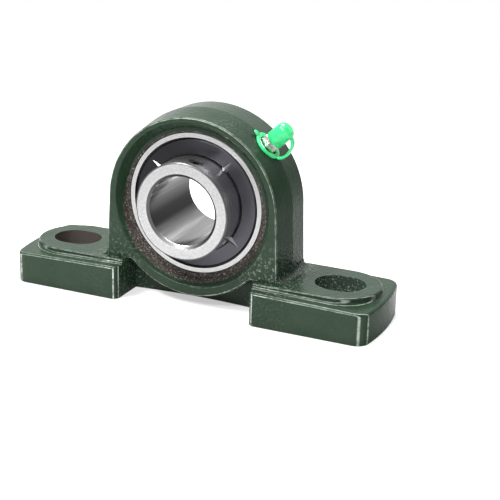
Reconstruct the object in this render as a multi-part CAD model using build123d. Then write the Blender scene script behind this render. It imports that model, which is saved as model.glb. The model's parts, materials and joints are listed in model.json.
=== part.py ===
from build123d import *
from math import cos, radians, sin, sqrt, tan
import os

# Pillow block bearing: a cast housing on two slotted feet that carries a self-aligning
# insert bearing with set screws, and a grease nipple with its cap. Sizes in millimetres.
# X runs along the base, Y from the set-screw side to the back, Z up. The origin is on
# the base plane, under the middle of the bearing.

# Insert bearing
bore_diameter = 28.575
inner_ring_length = 38.1
short_end = 15.9
inner_ring_diameter = 40.2
bore_chamfer = 1.2
inner_edge_chamfer = 0.35
outer_ring_diameter = 62.0
outer_ring_width = 19.0
outer_edge_chamfer = 0.3
ball_diameter = 9.525
ball_count = 9
pitch_diameter = 46.0
race_conformity = 0.52
race_depth = 1.85
ball_clearance = 0.03
seat_clearance = 0.05

# Cage of two pressed ribbons held by rivets
cage_sheet = 1.0
cage_width = 4.2
pocket_clearance = 0.12
rivet_diameter = 1.5
rivet_head_diameter = 2.6
rivet_head_height = 0.6
rivet_head_taper = 0.2

# Seals and flingers
seal_recess_diameter = 54.8
seal_recess_depth = 2.9
seal_plate_thickness = 0.6
seal_rim_height = 1.1
seal_plate_bore = 46.0
seal_lip_gap = 0.05
seal_lip_thickness = 1.3
seal_lip_edge = 0.52
seal_lip_slant = 0.8
seal_lip_lap = 1.0
flinger_sheet = 0.8
flinger_diameter = 53.4
flinger_bore = 41.4
flinger_face = 9.2
flinger_dish = 0.4
flinger_lug_count = 4
flinger_lug_angle = 39.0
flinger_lug_reach = 24.8
flinger_lug_width = 3.0
flinger_lug_height = 0.9
flinger_lug_tip_share = 0.08

# Set screws
screw_diameter = 6.0
screw_length = 5.0
screw_clearance = 0.05
screw_to_end = 5.6
screw_edge = 0.4
screw_tip_inset = 0.35
screw_socket = 3.0
screw_socket_depth = 2.4
screw_cup_diameter = 3.0
screw_cup_depth = 0.6
screw_angles = (11.0, 131.0)

# Housing
shaft_height = 42.9
base_length = 161.0
base_width = 44.0
foot_gap = 59.0
foot_height_inner = 14.3
foot_height_outer = 13.1
foot_end_radius = 98.0
foot_outer_corner = 5.5
foot_inner_corner = 3.0
foot_top_edge = 1.2
pad_height = 16.0
pad_width = 33.6
pad_edge = 0.6
pad_cove = 1.2
slot_spacing = 121.0
slot_length = 21.0
slot_width = 17.0
body_depth = 27.4
body_radius = 38.9
body_drop = 1.0
body_draft = 7.0
back_draft = 2.0
body_edge = 0.8
wall_flare = 1.8
wall_cove = 2.6
web_edge = 10.0
web_middle = 5.8
mouth_floor_radius = 31.4
mouth_flare_share = 0.6
mouth_edge = 0.8
rim_edge_share = 0.42
seat_half_width = 9.5
grease_groove_offset = 3.0
grease_groove_width = 7.0
grease_groove_depth = 1.0
grease_hole_diameter = 1.5
grease_hole_offset = 5.3
grease_hole_count = 2
loading_slot_clearance = 0.15

# Grease nipple with its plastic cap
nipple_angle = 46.8
nipple_offset = 1.1
nipple_thread = 6.0
nipple_end_clearance = 0.35
spot_face_depth = 0.8
spot_face_diameter = 13.4
nipple_passage = 3.0
nipple_hex = 7.0
nipple_hex_height = 4.0
nipple_hex_bevel_height = 0.4
nipple_hex_bevel_width = 0.6
nipple_neck_diameter = 4.4
nipple_neck_height = 1.2
nipple_head_diameter = 6.0
nipple_head_height = 3.8
nipple_bore = 2.4
nipple_mouth = 1.5
nipple_mouth_length = 1.0
nipple_crimp = 0.6
check_ball_diameter = 2.2
check_ball_gap = 0.03
spring_wire = 0.3
spring_turns = 6
spring_clearance = 0.05
cap_wall = 0.8
cap_gap = 0.05
cap_crown = 2.4
cap_length = 8.6
cap_ring_gap = 0.15
cap_ring_width = 1.9
cap_ring_thickness = 1.0
cap_tab_reach = 8.4
cap_tab_width = 2.6
cap_tab_thickness = 0.7
cap_tab_corner = 1.25
strap_width = 2.8
strap_thickness = 1.1
strap_reach = 7.6
strap_drawback = 1.0
strap_bends = (0.6, 2.4, 1.2)

# How far a shape runs into its neighbour, and how near an edge must be to be picked
overlap = 1.0
pick = 0.01

# Worked out from the sizes above
bore_radius = bore_diameter/2
inner_radius = inner_ring_diameter/2
outer_radius = outer_ring_diameter/2
pitch_radius = pitch_diameter/2
ball_radius = ball_diameter/2
long_end = inner_ring_length - short_end
half_ring = outer_ring_width/2
race_radius = race_conformity*ball_diameter
inner_race_bottom = pitch_radius - ball_radius - ball_clearance
outer_race_bottom = pitch_radius + ball_radius + ball_clearance
outer_land_radius = outer_race_bottom - race_depth
ball_step = 360/ball_count
half_body = body_depth/2
face_radius = body_radius - half_body*tan(radians(body_draft))
back_radius = body_radius - half_body*tan(radians(back_draft))
rim_top = face_radius - body_drop
mouth_radius = mouth_floor_radius + mouth_flare_share*(rim_top - mouth_floor_radius)
rim_width = rim_top - mouth_radius
body_round = min(body_edge, rim_edge_share*rim_width)
mouth_round = min(mouth_edge, rim_edge_share*rim_width)
foot_start = foot_gap/2
foot_end = base_length/2
pad_radius = pad_width/2
seat_radius = outer_radius + seat_clearance
body_level = shaft_height - body_drop
spot_level = body_radius - body_drop*cos(radians(nipple_angle)) - spot_face_depth
hex_top = spot_level + nipple_hex_height
head_start = hex_top + nipple_neck_height
head_top = head_start + nipple_head_height
thread_end = seat_radius + grease_groove_depth + nipple_end_clearance
check_seat = head_top - nipple_mouth_length
check_ball_radius = check_ball_diameter/2
check_ball_level = check_seat - check_ball_gap - sqrt(check_ball_radius**2 - (nipple_mouth/2)**2)
cap_radius = nipple_head_diameter/2 + cap_gap + cap_wall
cap_base = hex_top + cap_gap
cap_top = cap_base + cap_length
cap_ring_bore = nipple_hex/sqrt(3) + cap_ring_gap
cap_ring_radius = cap_ring_bore + cap_ring_width
cap_ring_level = spot_level + cap_ring_thickness

bearing = Plane(origin=(0, 0, shaft_height), x_dir=(1, 0, 0), z_dir=(0, -1, 0)).location
nipple_axis = (sin(radians(nipple_angle)), 0, cos(radians(nipple_angle)))
nipple = Plane(origin=(0, -nipple_offset, shaft_height), x_dir=(0, -1, 0), z_dir=nipple_axis).location


def turned(*points):
    """A ring turned about the local Z axis from its half section (radius, height)."""
    section = make_face(Polyline(*[(r, 0, z) for r, z in points], close=True))
    return revolve(section, Axis.Z)


def rod(radius, length):
    """A cylinder that stands on its own frame's plane."""
    return Cylinder(radius, length, align=(Align.CENTER, Align.CENTER, Align.MIN))


def tube(radius, bore, low, high):
    return turned((bore, low), (radius, low), (radius, high), (bore, high))


def around(angle, radius, height=0.0):
    """A place on the bearing, by its angle clockwise from the top."""
    return Pos(radius*sin(radians(angle)), radius*cos(radians(angle)), height)


def radial(angle):
    """A frame whose Z points out from the bearing's axis at an angle from the top."""
    return Rot(0, 0, -angle)*Rot(-90, 0, 0)


def make_inner_ring():
    ring = turned(
        (bore_radius, bore_chamfer - short_end), (bore_radius + bore_chamfer, -short_end),
        (inner_radius - inner_edge_chamfer, -short_end), (inner_radius, inner_edge_chamfer - short_end),
        (inner_radius, long_end - inner_edge_chamfer), (inner_radius - inner_edge_chamfer, long_end),
        (bore_radius + bore_chamfer, long_end), (bore_radius, long_end - bore_chamfer))
    ring -= Torus(inner_race_bottom + race_radius, race_radius)
    for angle in screw_angles:
        ring -= Pos(0, 0, long_end - screw_to_end)*radial(angle)*rod(screw_diameter/2, 2*inner_radius)
    return ring


def make_outer_ring():
    land = outer_land_radius
    recess = seal_recess_diameter/2
    step = half_ring - seal_recess_depth
    corner = sqrt(outer_radius**2 - half_ring**2) - outer_edge_chamfer
    level = half_ring - (outer_radius - corner)
    blank = turned((land, -step), (recess, -step), (recess, -half_ring), (corner, -half_ring),
                   (outer_radius, -level), (outer_radius, level), (corner, half_ring),
                   (recess, half_ring), (recess, step), (land, step))
    ring = blank & Sphere(outer_radius)
    ring -= Torus(outer_race_bottom - race_radius, race_radius)
    for index in range(grease_hole_count):
        angle = nipple_angle + 360*index/grease_hole_count
        ring -= Pos(0, 0, grease_hole_offset)*radial(angle)*rod(grease_hole_diameter/2, 2*outer_radius)
    return ring


def make_ball(index):
    return around(index*ball_step, pitch_radius)*Sphere(ball_radius)


def make_cage_half():
    """The half of the cage that lies on the positive side."""
    low = pitch_radius - cage_width/2
    high = pitch_radius + cage_width/2
    pocket = ball_radius + pocket_clearance
    half = tube(high, low, 0, cage_sheet)
    band = tube(high, low, 0, 2*ball_diameter)
    for index in range(ball_count):
        place = around(index*ball_step, pitch_radius)
        half += (place*Sphere(pocket + cage_sheet)) & band
    for index in range(ball_count):
        half -= around(index*ball_step, pitch_radius)*Sphere(pocket)
        half -= around((index + 0.5)*ball_step, pitch_radius)*Cylinder(rivet_diameter/2, 4*cage_sheet)
    return half


def make_rivets():
    head = turned((0, cage_sheet), (rivet_head_diameter/2, cage_sheet),
                  (rivet_head_diameter/2 - rivet_head_taper, cage_sheet + rivet_head_height),
                  (0, cage_sheet + rivet_head_height))
    rivet = Cylinder(rivet_diameter/2, 2*cage_sheet) + head + mirror(head, Plane.XY)
    return [around((index + 0.5)*ball_step, pitch_radius)*rivet for index in range(ball_count)]


def make_seal_plate():
    """The pressed steel shield that sits in the outer ring's recess."""
    low = half_ring - seal_recess_depth
    rim = seal_recess_diameter/2
    bore = seal_plate_bore/2
    high = low + seal_rim_height
    plate = low + seal_plate_thickness
    wall = rim - seal_plate_thickness
    return turned((bore, low), (rim, low), (rim, high), (wall, high), (wall, plate), (bore, plate))


def make_seal_lip():
    """The rubber lip that is bonded to the shield and runs on the inner ring."""
    low = half_ring - seal_recess_depth
    bore = seal_plate_bore/2
    tip = inner_radius + seal_lip_gap
    top = low + seal_lip_thickness
    plate = low + seal_plate_thickness
    return turned((tip, top), (tip, top - seal_lip_edge), (tip + seal_lip_slant, low), (bore, low),
                  (bore, plate), (bore + seal_lip_lap, plate), (bore + seal_lip_lap, top))


def make_flinger():
    """The dished guard disc on the inner ring, with its pressed lugs."""
    bore = flinger_bore/2
    rim = flinger_diameter/2
    top = flinger_face
    disc = turned((bore, top - flinger_sheet), (rim - flinger_dish, top - flinger_sheet),
                  (rim, top - flinger_sheet - flinger_dish), (rim, top - flinger_dish),
                  (rim - flinger_dish, top), (bore, top))
    start = Plane(origin=(0, inner_radius - flinger_sheet, top), x_dir=(-1, 0, 0), z_dir=(0, 1, 0))
    reach = flinger_lug_reach - inner_radius + flinger_sheet
    lug = loft([start*lug_section(1.0), start.offset(reach)*lug_section(flinger_lug_tip_share)])
    for index in range(flinger_lug_count):
        disc += Rot(0, 0, -flinger_lug_angle - 360*index/flinger_lug_count)*lug
    return disc - Cylinder(inner_radius, 4*flinger_face)


def lug_section(share):
    """The triangle of a lug, standing on the back of the sheet."""
    half = share*flinger_lug_width/2
    return make_face(Polyline((-half, -flinger_sheet), (half, -flinger_sheet), (half, 0),
                              (0, share*flinger_lug_height), (-half, 0), close=True))


def make_set_screw(angle):
    tip = bore_radius + screw_tip_inset
    shank = rod(screw_diameter/2 - screw_clearance, screw_length)
    shank = chamfer(shank.edges().filter_by(GeomType.CIRCLE), screw_edge)
    socket = extrude(RegularPolygon(screw_socket/2, 6, major_radius=False), -screw_socket_depth)
    cup = Cone(0, screw_cup_diameter/2, screw_cup_depth, align=(Align.CENTER, Align.CENTER, Align.MAX))
    screw = shank - Pos(0, 0, screw_length)*socket - Rot(180, 0, 0)*cup
    return Pos(0, 0, long_end - screw_to_end)*radial(angle)*Pos(0, 0, tip)*screw


def wall_section(radius):
    """The two walls' section under the round body, where it has a given radius."""
    foot = radius + wall_flare
    return make_face(Polyline((-radius, 0), (radius, 0), (foot, -body_level),
                              (-foot, -body_level), close=True))


def body_half(end_radius):
    """Half of the round body and of its two walls, drafted from the middle to one end."""
    disc = Cone(body_radius, end_radius, half_body, align=(Align.CENTER, Align.CENTER, Align.MIN))
    walls = loft([wall_section(body_radius), Pos(0, 0, half_body)*wall_section(end_radius)], ruled=True)
    opening = Pos(0, pad_height/2 - body_level)*Box(foot_gap, pad_height, 2*body_depth)
    half = disc + (walls - opening)
    rim = half.edges().filter_by_position(Axis.Z, half_body - pick, half_body + pick)
    return fillet(rim.filter_by(lambda edge: edge.center().Y > pick - body_level), body_round)


def make_body():
    """The housing's round body, drafted more to the front than to the back."""
    body = body_half(face_radius) + mirror(body_half(back_radius), Plane.XY)
    return bearing*Pos(0, -body_drop)*body


def foot_plan(start):
    """The outline of a foot from a given place on X to its bowed end."""
    half = base_width/2
    side = foot_end - half*half/(2*foot_end_radius)
    end = ThreePointArc((side, -half), (foot_end, 0), (side, half))
    return make_face(Polyline((side, half), (start, half), (start, -half), (side, -half)) + end)


def make_foot():
    """One foot, on the positive side of X, with its raised pad blended into its top."""
    near = foot_start - 2*overlap
    far = foot_end + overlap
    block = extrude(foot_plan(near), 2*foot_height_inner)
    block = fillet(block.edges().filter_by(Axis.Z).sort_by(Axis.X)[-2:], foot_outer_corner)
    slope = Polyline((near, 0), (far, 0), (far, foot_height_outer), (near, foot_height_inner), close=True)
    block &= extrude(Plane.XZ*make_face(slope), base_width, both=True)
    top = block.faces().sort_by(Axis.Z)[-1].edges()
    block = fillet(top.filter_by(lambda edge: edge.center().X > near + pick), foot_top_edge)
    pad = extrude(Pos(slot_spacing/2, 0)*Circle(pad_radius), pad_height)
    pad += Pos((near + slot_spacing/2)/2, 0, pad_height/2)*Box(slot_spacing/2 - near, pad_width, pad_height)
    rim = pad.faces().sort_by(Axis.Z)[-1].edges()
    block += fillet(rim.filter_by(lambda edge: edge.center().X > near + pick), pad_edge)
    base = block.edges().filter_by(lambda edge: on_pad_wall(edge.center()))
    block = fillet(base.filter_by_position(Axis.Z, foot_height_outer - overlap, foot_height_inner), pad_cove)
    limit = extrude(foot_plan(foot_start), 2*pad_height)
    return block & fillet(limit.edges().filter_by(Axis.Z).sort_by(Axis.X)[:2], foot_inner_corner)


def on_pad_wall(point):
    """Whether the middle of an edge lies on the wall round the pad."""
    along = max(point.X - slot_spacing/2, 0)
    return point.X > foot_start - overlap and abs(sqrt(along**2 + point.Y**2) - pad_radius) < pick


def make_slot():
    slot = SlotOverall(slot_length, slot_width)
    return Pos(slot_spacing/2, 0)*extrude(slot, 2*pad_height, both=True)


def cove_section(depth, end_radius):
    """The cove's section at a depth before the middle, following the wall's draft."""
    draft = (body_radius - end_radius)*abs(depth)/half_body
    wall = body_radius + wall_flare*(1 - pad_height/body_level) - draft
    toe = wall + wall_cove
    high = pad_height + wall_cove
    low = pad_height - overlap
    sides = Polyline((wall, high), (wall - overlap, high), (wall - overlap, low),
                     (toe, low), (toe, pad_height))
    arc = RadiusArc((toe, pad_height), (wall, high), wall_cove)
    return Plane.XZ.offset(depth)*make_face(sides + arc)


def make_cove():
    """The fillet where a wall meets its foot."""
    depth = half_body - body_round/2
    front = loft([cove_section(0, face_radius), cove_section(depth, face_radius)], ruled=True)
    return front + loft([cove_section(0, back_radius), cove_section(-depth, back_radius)], ruled=True)


def make_web():
    """The thin wall between the feet, hollowed on both sides."""
    end = foot_start + overlap
    front = ThreePointArc((-end, -web_edge/2), (0, -web_middle/2), (end, -web_edge/2))
    back = ThreePointArc((end, web_edge/2), (0, web_middle/2), (-end, web_edge/2))
    sides = [Line((end, -web_edge/2), (end, web_edge/2)), Line((-end, web_edge/2), (-end, -web_edge/2))]
    top = body_level - sqrt(face_radius**2 - foot_start**2) + overlap
    return extrude(make_face([front, sides[0], back, sides[1]]), top)


def make_mouths():
    """The cones that open the housing on both sides of the insert."""
    mouth = turned((0, seat_half_width), (mouth_floor_radius, seat_half_width), (mouth_radius, half_body),
                   (mouth_radius, body_depth), (0, body_depth))
    return mouth + mirror(mouth, Plane.XY)


def make_insert_space():
    """What the ball seat, its grease groove and the loading slots take away."""
    seat = Sphere(seat_radius) & Cylinder(body_radius, 2*seat_half_width)
    groove_radius = seat_radius + grease_groove_depth
    groove = Pos(0, 0, grease_groove_offset)*Cylinder(groove_radius, grease_groove_width)
    loading_length = 2*(outer_radius + loading_slot_clearance)
    loading_width = outer_ring_width + 2*loading_slot_clearance
    loading = Pos(0, 0, -half_body/2)*Box(loading_length, loading_width, half_body)
    return seat + groove + loading


def make_housing():
    foot = make_foot() + make_cove()
    housing = make_body() + foot + mirror(foot, Plane.YZ) + make_web()
    housing -= bearing*make_mouths()
    mouth = housing.edges().filter_by(GeomType.CIRCLE).filter_by(
        lambda edge: abs(edge.radius - mouth_radius) < pick)
    housing = fillet(mouth, mouth_round)
    housing -= bearing*make_insert_space()
    slot = make_slot()
    housing -= slot + mirror(slot, Plane.YZ)
    spot = rod(spot_face_diameter/2, shaft_height)
    thread = rod(nipple_thread/2, shaft_height)
    passage = rod(nipple_passage/2, shaft_height)
    housing -= nipple*(Pos(0, 0, spot_level)*spot + Pos(0, 0, thread_end)*thread + passage)
    return housing


def make_nipple_body():
    outer = turned((0, thread_end), (nipple_thread/2, thread_end), (nipple_thread/2, spot_level),
                   (nipple_neck_diameter/2, spot_level), (nipple_neck_diameter/2, head_start),
                   (nipple_head_diameter/2, head_start + nipple_head_height/3),
                   (nipple_head_diameter/2, head_start + nipple_head_height/2),
                   (nipple_mouth, head_top), (0, head_top))
    flat = nipple_hex/2
    nut = Pos(0, 0, spot_level)*extrude(RegularPolygon(flat, 6, major_radius=False), nipple_hex_height)
    crest = flat + nipple_hex_bevel_width
    collar = turned((0, spot_level), (flat, spot_level), (crest, spot_level + nipple_hex_bevel_height),
                    (crest, hex_top - nipple_hex_bevel_height), (flat, hex_top), (0, hex_top))
    bore = turned((0, thread_end + nipple_crimp), (nipple_bore/2, thread_end + nipple_crimp),
                  (nipple_bore/2, check_seat), (0, check_seat))
    hole = Pos(0, 0, thread_end)*rod(nipple_mouth/2, shaft_height)
    return nipple*(outer + (nut & collar) - bore - hole)


def make_check_ball():
    return nipple*Pos(0, 0, check_ball_level)*Sphere(check_ball_radius)


def make_check_spring():
    """The coil that holds the check ball against the nipple's mouth."""
    coil_radius = nipple_bore/2 - spring_wire/2 - spring_clearance
    contact = check_ball_radius + spring_wire/2 + spring_clearance
    low = thread_end + nipple_crimp + spring_wire/2
    high = check_ball_level - sqrt(contact**2 - coil_radius**2)
    path = Helix((high - low)/spring_turns, high - low, coil_radius)
    wire = Plane(origin=path@0, z_dir=path%0)*Circle(spring_wire/2)
    return nipple*Pos(0, 0, low)*sweep(wire, path=path)


def make_cap():
    hollow = nipple_head_diameter/2 + cap_gap
    shell = rod(cap_radius, cap_length)
    shell = fillet(shell.edges().filter_by(GeomType.CIRCLE).sort_by(Axis.Z)[-1:], cap_crown)
    return nipple*Pos(0, 0, cap_base)*(shell - rod(hollow, cap_length - cap_wall))


def make_cap_ring():
    ring = tube(cap_ring_radius, cap_ring_bore, spot_level, cap_ring_level)
    start = cap_ring_radius - cap_ring_width/2
    tab = Pos((start + cap_tab_reach)/2, 0, cap_ring_level - cap_tab_thickness/2)*Box(
        cap_tab_reach - start, cap_tab_width, cap_tab_thickness)
    tab = fillet(tab.edges().filter_by(Axis.Z).sort_by(Axis.X)[-2:], cap_tab_corner)
    return nipple*(ring + Rot(0, 0, -90)*tab)


def make_strap():
    """The bent strip that ties the cap to its ring, bulging away down the dome."""
    level = cap_ring_level
    start = cap_ring_radius + cap_gap
    join = cap_top - cap_crown
    path = FilletPolyline((0, start, level), (0, strap_reach, level), (0, strap_reach, join - cap_crown),
                          (0, strap_reach - strap_drawback, join), (0, cap_radius + cap_gap, join),
                          radius=strap_bends)
    section = Plane(origin=path@0, x_dir=(1, 0, 0), z_dir=path%0)*Rectangle(strap_width, strap_thickness)
    return nipple*sweep(section, path=path)


def front_and_rear(name, shape):
    """A pair of like pieces, one on each side of the bearing's middle plane."""
    return {f"{name}_front": bearing*shape, f"{name}_rear": bearing*mirror(shape, Plane.XY)}


def make_pieces():
    pieces = {
        "housing": make_housing(),
        "outer_ring": bearing*make_outer_ring(),
        "inner_ring": bearing*make_inner_ring(),
        "cage_rivets": Compound(children=[bearing*rivet for rivet in make_rivets()]),
        "nipple_body": make_nipple_body(),
        "nipple_check_ball": make_check_ball(),
        "nipple_spring": make_check_spring(),
        "nipple_cap": make_cap(),
        "cap_ring": make_cap_ring(),
        "cap_strap": make_strap(),
    }
    pieces |= front_and_rear("cage", make_cage_half())
    pieces |= front_and_rear("seal_plate", make_seal_plate())
    pieces |= front_and_rear("seal_lip", make_seal_lip())
    pieces |= front_and_rear("flinger", make_flinger())
    for index in range(ball_count):
        pieces[f"ball_{index + 1}"] = bearing*make_ball(index)
    for index, angle in enumerate(screw_angles):
        pieces[f"set_screw_{index + 1}"] = bearing*make_set_screw(angle)
    return pieces


def main():
    os.makedirs("parts", exist_ok=True)
    for name, shape in make_pieces().items():
        export_step(shape, f"parts/{name}.step")


if __name__ == "__main__":
    main()
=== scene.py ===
from math import cos, pi, radians, sin
import json

import bmesh
import bpy
from bpy.props import FloatProperty, FloatVectorProperty, PointerProperty
from mathutils import Matrix, Vector


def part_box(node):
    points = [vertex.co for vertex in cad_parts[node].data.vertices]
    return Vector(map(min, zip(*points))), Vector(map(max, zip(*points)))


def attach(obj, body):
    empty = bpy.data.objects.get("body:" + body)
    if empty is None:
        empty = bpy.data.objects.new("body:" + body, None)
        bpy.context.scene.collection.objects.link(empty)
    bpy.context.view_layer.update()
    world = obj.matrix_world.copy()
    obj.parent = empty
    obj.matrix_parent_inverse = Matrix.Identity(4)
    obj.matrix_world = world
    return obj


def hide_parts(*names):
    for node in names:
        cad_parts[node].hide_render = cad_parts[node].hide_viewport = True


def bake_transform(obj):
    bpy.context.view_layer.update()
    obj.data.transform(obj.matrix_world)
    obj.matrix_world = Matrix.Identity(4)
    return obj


bl_info = {
    "name": "Pillow block bearing looks",
    "version": (1, 0),
    "blender": (4, 5, 0),
    "location": "3D View > Sidebar > Bearing",
    "description": "Paint, metals, plastic cap and studio for a pillow block bearing",
    "category": "Object",
}

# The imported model, and the places that it gives
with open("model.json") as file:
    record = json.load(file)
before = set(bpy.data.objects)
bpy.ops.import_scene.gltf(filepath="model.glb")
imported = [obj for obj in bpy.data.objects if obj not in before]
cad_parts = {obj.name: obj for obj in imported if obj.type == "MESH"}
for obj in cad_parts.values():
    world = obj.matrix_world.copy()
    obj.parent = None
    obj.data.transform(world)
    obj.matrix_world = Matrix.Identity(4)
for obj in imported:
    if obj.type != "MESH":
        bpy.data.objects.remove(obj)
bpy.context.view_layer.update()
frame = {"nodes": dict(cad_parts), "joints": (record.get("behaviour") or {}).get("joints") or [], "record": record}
joints = {joint["name"]: joint for joint in frame["joints"]}
mounts = {mount["name"]: mount for mount in frame["record"]["mounts"]}
centre = Vector(joints["shaft_spin"]["pos_m"])
pull = Vector(joints["cap_pull"]["axis"]).normalized()
nipple_head = Vector(mounts["nipple_head"]["pos_m"])
mm = 0.001
slot_dims = mounts["base_slots"]["dims"]
slot_place = slot_dims["spacing_x_mm"]/2*mm
slot_radius = slot_dims["hole_r_mm"]*mm
slot_straight = (slot_dims["slot_length_mm"]/2 - slot_dims["hole_r_mm"])*mm
face_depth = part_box("inner_ring")[0].y
foot_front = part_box("housing")[0].y

# The nipple's own frame: its height along the pull, its width down the dome, its depth to the back
nipple_foot = Vector((centre.x, nipple_head.y, centre.z))
nipple_frame = Matrix.Translation(nipple_foot) @ Matrix((
    (pull.z, 0.0, pull.x, 0.0),
    (0.0, 1.0, 0.0, 0.0),
    (-pull.x, 0.0, pull.z, 0.0),
    (0.0, 0.0, 0.0, 1.0)))
head_level = (nipple_head - nipple_foot).dot(pull)

# The strap's middle line in mm: outwards from the middle of the eyelet's band, and up from it
strap_route = ((0.2, 0.0), (1.8, 0.9), (2.5, 3.7), (1.8, 7.1), (0.5, 9.0), (-0.8, 9.8), (-1.6, 9.9))

# The soft lights: name, place, side of the square and power
lights = (
    ("left", (-0.30, -0.34, 0.66), 0.20, 8.0),
    ("front", (0.05, -0.55, 0.60), 0.12, 4.5),
    ("top", (-0.08, 0.22, 0.75), 0.45, 13.0),
    ("right", (0.50, -0.58, 0.14), 0.14, 0.5))


def colour(name, description, default):
    """A colour that can be set."""
    return FloatVectorProperty(name=name, description=description, default=default,
                               subtype="COLOR", size=3, min=0.0, max=1.0)


def size(name, description, default):
    """A length that can be set, in metres."""
    return FloatProperty(name=name, description=description, default=default,
                         subtype="DISTANCE", unit="LENGTH", min=0.0, precision=5)


def share(name, description, default):
    """A share that can be set, from 0 to 1."""
    return FloatProperty(name=name, description=description, default=default,
                         subtype="FACTOR", min=0.0, max=1.0)


class PaintSettings(bpy.types.PropertyGroup):
    paint: colour("Enamel", "Dark green enamel on the casting", (0.006, 0.017, 0.008))
    paint_light: colour("Thin enamel", "Enamel where it lies thin over the grain",
                        (0.024, 0.042, 0.026))
    # Painted highlight colour for the rounded edges, the grains at the foot roots and the glints in the right slot
    edge: colour("Edge highlight", "Painted highlight on the edges and grain crests", (0.42, 0.48, 0.42))
    iron: colour("Bare iron", "Rough unpainted iron inside the mouth", (0.058, 0.047, 0.040))
    iron_dark: colour("Iron pits", "Pits in the unpainted iron", (0.008, 0.007, 0.006))
    glint: colour("Iron glints", "Painted glints in the unpainted iron", (0.30, 0.28, 0.26))
    slot_iron: colour("Slot iron", "Smooth iron in the left slot", (0.052, 0.044, 0.038))
    slot_dark: colour("Slot enamel", "Dark enamel over rough iron in the right slot",
                      (0.020, 0.036, 0.025))
    machined: colour("Machined iron", "Machined faces under the feet", (0.30, 0.29, 0.28))
    roughness: share("Enamel roughness", "Roughness of the enamel", 0.22)
    shine: share("Enamel shine", "Specular level of the enamel", 0.18)
    side_shine: share("Side shine", "Specular level on the casting's matt sides", 0.025)
    # Strengths of the painted highlights on the body's edges, the feet's edges and the grains at the foot roots
    edge_share: share("Body edges", "How bright the edges of the round body are", 0.85)
    foot_edge_share: share("Foot edges", "How bright the edges of the feet are", 0.50)
    crest_share: share("Crests", "How bright the grains at the foot roots are", 0.20)
    smooth_share: share("Smooth casting", "Grain where the casting is smooth", 0.14)
    pebble_size: size("Pebble size", "Distance between grains of the cast skin", 0.0011)
    pebble_height: size("Pebble height", "Height of the grains under the enamel", 0.00034)
    swell_size: size("Swell size", "Distance between the soft swells of the casting", 0.009)
    swell_height: size("Swell height", "Height of the soft swells", 0.00022)
    root: size("Foot root", "From the middle to where the feet meet the body", 0.034)
    floor_radius: size("Mouth floor radius", "Where the mouth's cone starts", 0.0314)
    rim_radius: size("Mouth rim radius", "Where the mouth's cone ends", 0.0343)
    ragged: size("Ragged edge", "How far the enamel's edge in the mouth wanders", 0.0012)


class SteelSettings(bpy.types.PropertyGroup):
    ring: colour("Ring steel", "Ground bearing steel", (0.53, 0.53, 0.53))
    ring_dark: colour("Ring oil film", "Thin oil on the ground steel", (0.25, 0.25, 0.25))
    edge: colour("Edge steel", "Oiled steel on the ring's chamfer and rounded rim",
                 (0.10, 0.10, 0.10))
    # Painted reflections in the bore: bright streaks, and the dark ground between them
    bore: colour("Bore steel", "Bright streaks in the bore", (0.62, 0.62, 0.62))
    bore_dark: colour("Bore dark reflection", "Painted dark reflection in the bore", (0.018, 0.018, 0.018))
    ball: colour("Ball steel", "Polished balls", (0.78, 0.78, 0.77))
    sheet: colour("Pressed sheet", "Cage and rivets", (0.46, 0.455, 0.44))
    shield: colour("Shield", "Oily sheet of the seal shields", (0.05, 0.048, 0.046))
    flinger: colour("Flinger", "Dark coated flinger sheet", (0.078, 0.075, 0.088))
    # Painted shade on the flingers, darkest at the left
    left_shade: colour("Painted shade", "Darkest part of the flingers, at the left", (0.008, 0.008, 0.009))
    # Painted highlight on the flingers' lugs
    worn_and_lit: colour("Lug highlight", "Painted highlight on the upper flanks of the flingers' lugs", (0.19, 0.19, 0.20))
    screw: colour("Set screw", "Black oxide on the set screws", (0.016, 0.016, 0.017))
    plating: colour("Plating", "Zinc on the nipple", (0.66, 0.64, 0.60))
    rubber: colour("Rubber", "Seal lips", (0.018, 0.018, 0.019))
    face_roughness: share("Ground roughness", "Roughness of the ground faces", 0.30)
    ball_roughness: share("Ball roughness", "Roughness of the balls", 0.05)
    sheet_roughness: share("Sheet roughness", "Roughness of the cage and rivets", 0.38)
    shield_roughness: share("Shield roughness", "Roughness of the seal shields", 0.45)
    flinger_roughness: share("Flinger roughness", "Roughness of the flinger", 0.34)
    plating_roughness: share("Plating roughness", "Roughness of the zinc", 0.16)
    line_height: size("Tool line height", "Height of the grinding lines", 0.000006)
    roll_height: size("Roll line height", "Height of the lines on rolled sheet", 0.000004)
    bore_edge: size("Bore edge", "Radius where the bore meets its chamfer", 0.0143)
    chamfer_edge: size("Chamfer edge", "Radius where the chamfer meets the ring's face", 0.0154)
    rim_edge: size("Rim edge", "Radius where the face meets its rounded rim", 0.0194)
    lug_reach: size("Lug reach", "Radius where the flingers' lugs end", 0.0250)


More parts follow.
